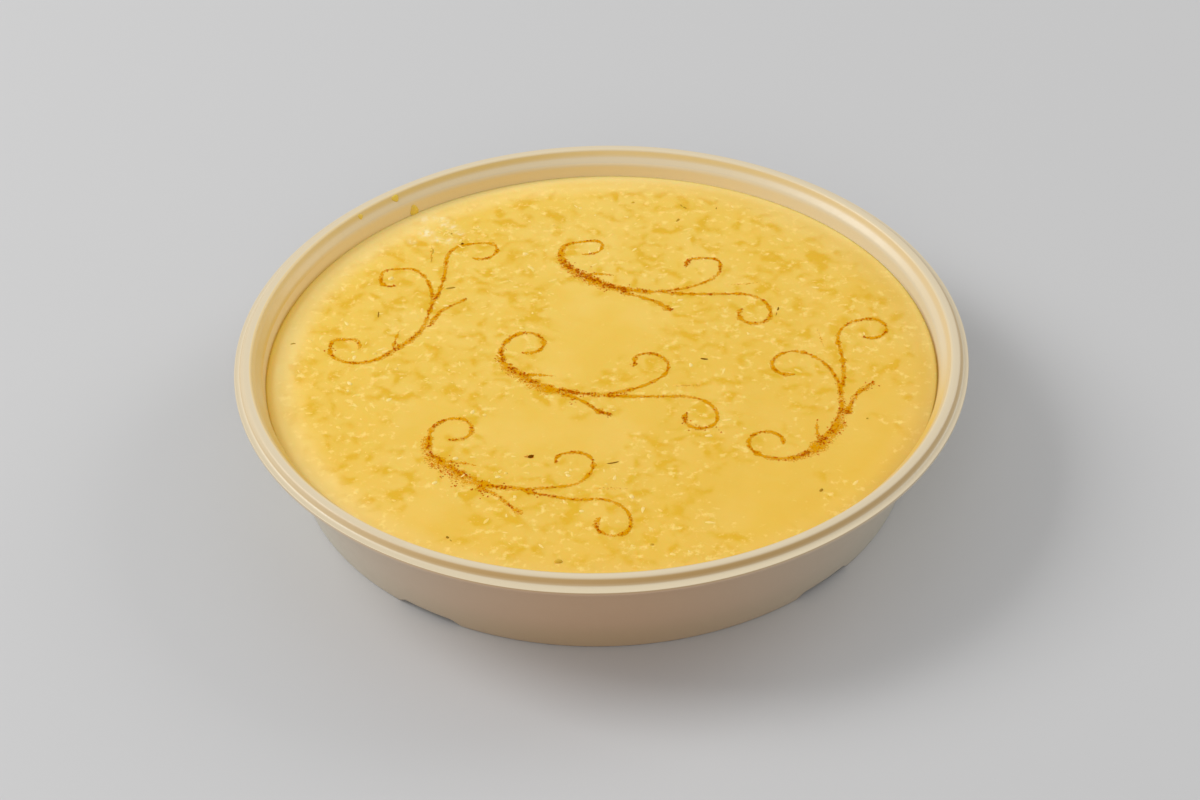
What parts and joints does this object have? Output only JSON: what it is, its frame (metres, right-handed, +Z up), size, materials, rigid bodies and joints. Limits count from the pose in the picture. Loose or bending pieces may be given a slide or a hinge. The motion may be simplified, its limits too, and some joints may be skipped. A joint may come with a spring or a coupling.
{
  "type": "rice pudding in a bowl",
  "caption": "Set rice pudding with cinnamon scrolls on top, filling a round shallow moulded bowl with a stepped rim and a vented foot ring.",
  "frame": {"origin": "centre of the bowl's foot ring, on the surface that it stands on", "axes": "+Z up; -Y towards the side from which the middle scroll reads upright; +X to that viewer's right"},
  "size_m": [0.23, 0.23, 0.0395],
  "materials": {
    "bowl": "smooth cream moulded plant fibre, satin",
    "pudding": "set yellow custard and rice, moist satin, with rust-brown cinnamon powder lines"
  },
  "bodies": {
    "root": {"bowl": "bowl", "rice_pudding": "pudding"}
  },
  "joints": []
}
